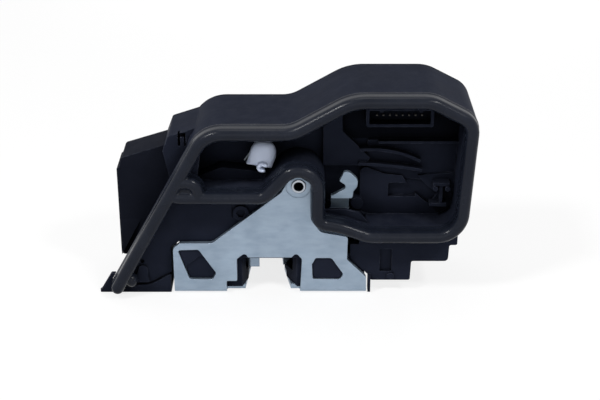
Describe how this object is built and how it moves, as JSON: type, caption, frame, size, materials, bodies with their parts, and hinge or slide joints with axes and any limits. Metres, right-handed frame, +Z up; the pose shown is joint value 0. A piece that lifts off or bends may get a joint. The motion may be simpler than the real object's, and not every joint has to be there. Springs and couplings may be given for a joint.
{
  "type": "door latch actuator",
  "caption": "Vehicle door latch with a bent steel striker plate, a black actuator housing, a rubber seal loop, a claw and levers.",
  "frame": {"origin": "middle between the two shut-face fixing holes, on the outer face of the shut plate", "axes": "+X along the latch to the right, +Y from the seal side to the back, +Z up away from the shut face"},
  "size_m": [0.1906, 0.0592, 0.1105],
  "materials": {
    "zinc_steel": "zinc plated, cool silver",
    "chrome_ring": "bright plated",
    "black_plastic": "satin black glass-filled nylon",
    "grey_plastic": "satin dark grey cover",
    "seal_rubber": "soft dark grey rubber",
    "bumper_rubber": "black",
    "white_plastic": "off-white acetal",
    "dark_steel": "phosphated, oiled",
    "spring_steel": "drawn wire",
    "brass_part": "turned brass",
    "motor_steel": "plated can",
    "gear_plastic": "natural acetal",
    "tin_pin": "tinned terminals",
    "sensor_plastic": "moulded chip"
  },
  "bodies": {
    "frame": {"latch_plate": "zinc_steel", "flange_bush": "chrome_ring", "main_housing": "black_plastic", "rear_cover": "grey_plastic", "side_cover": "grey_plastic", "base_skirt": "black_plastic", "latch_case": "black_plastic", "seal_gasket": "seal_rubber", "claw_pivot": "zinc_steel", "claw_spring": "spring_steel", "pawl_pivot": "zinc_steel", "striker_buffer": "bumper_rubber", "inside_release_pin": "zinc_steel", "lock_spring": "spring_steel", "wheel_pin": "zinc_steel", "motor_can": "motor_steel", "motor_endcap": "black_plastic", "connector_shroud": "black_plastic", "terminal_pins": "tin_pin", "circuit_carrier": "grey_plastic", "hall_sensor": "sensor_plastic", "cable_clip": "black_plastic", "outside_release_pin": "zinc_steel", "cover_screws": "zinc_steel"},
    "claw_body": {"claw": "zinc_steel", "claw_overmould": "black_plastic"},
    "pawl_body": {"pawl": "dark_steel", "pawl_finger": "dark_steel"},
    "inside_release_body": {"inside_release_lever": "zinc_steel"},
    "lock_body": {"lock_lever": "white_plastic", "lock_shaft": "gear_plastic", "sector_gear": "gear_plastic"},
    "wheel_body": {"worm_wheel": "gear_plastic"},
    "worm_body": {"worm": "brass_part", "motor_shaft": "zinc_steel"},
    "outside_release_body": {"outside_release_lever": "zinc_steel"}
  },
  "joints": [
    {"name": "claw_turn", "type": "hinge", "parent": "frame", "child": "claw_body", "pos_m": [-0.0175, 0.01, 0.0125], "axis": [0, 0, 1], "range_deg": [0, 49]},
    {"name": "pawl_lift", "type": "hinge", "parent": "frame", "child": "pawl_body", "pos_m": [0.024, 0.004, 0.0125], "axis": [0, 0, -1], "range_deg": [0, 9]},
    {"name": "inside_release_pull", "type": "hinge", "parent": "frame", "child": "inside_release_body", "pos_m": [0.0345, -0.012, 0.031], "axis": [0, 1, 0], "range_deg": [0, 18]},
    {"name": "lock_turn", "type": "hinge", "parent": "frame", "child": "lock_body", "pos_m": [-0.0032, 0, 0.0736], "axis": [0, 1, 0], "range_deg": [-25, 0]},
    {"name": "wheel_spin", "type": "hinge", "parent": "frame", "child": "wheel_body", "pos_m": [0.03355, 0.0122, 0.05487], "axis": [0, 1, 0], "range_deg": [0, 60]},
    {"name": "worm_spin", "type": "hinge", "parent": "frame", "child": "worm_body", "pos_m": [0.03355, 0.0122, 0.07242], "axis": [1, 0, 0], "range_deg": [-1441, 0]},
    {"name": "outside_release_pull", "type": "hinge", "parent": "frame", "child": "outside_release_body", "pos_m": [-0.022, 0.0253, 0.046], "axis": [0, 1, 0], "range_deg": [-18, 0]}
  ],
  "couplings": [
    {"joint": "pawl_lift", "follows": "inside_release_pull", "ratio": 0.5},
    {"joint": "lock_turn", "follows": "wheel_spin", "ratio": -0.41026},
    {"joint": "worm_spin", "follows": "wheel_spin", "ratio": -24}
  ]
}
